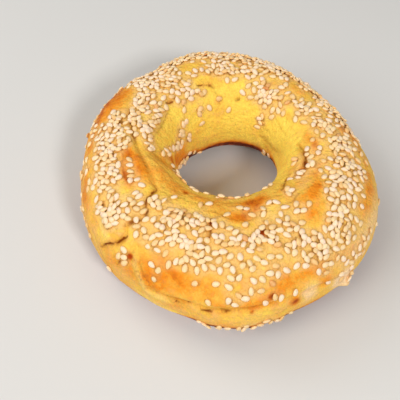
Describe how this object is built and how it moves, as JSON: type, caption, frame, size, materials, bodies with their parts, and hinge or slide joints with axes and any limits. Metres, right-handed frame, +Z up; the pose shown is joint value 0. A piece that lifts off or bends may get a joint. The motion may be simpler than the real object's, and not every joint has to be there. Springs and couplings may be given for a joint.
{
  "type": "sesame bagel",
  "caption": "Hand-rolled ring of baked dough with an off-centre hole, folds in its crust and hulled sesame seeds fused to its top and flanks.",
  "frame": {"origin": "on the table under the middle of the bagel's bounding box", "axes": "+Z up through the hole, -Y towards the near side, where the ring is fattest, +X to the right"},
  "size_m": [0.1119, 0.1211, 0.0374],
  "materials": {
    "baked_crust": "satin baked crust, golden yellow to orange, with ivory sesame seeds"
  },
  "bodies": {
    "root": {"bagel": "baked_crust"}
  },
  "joints": []
}
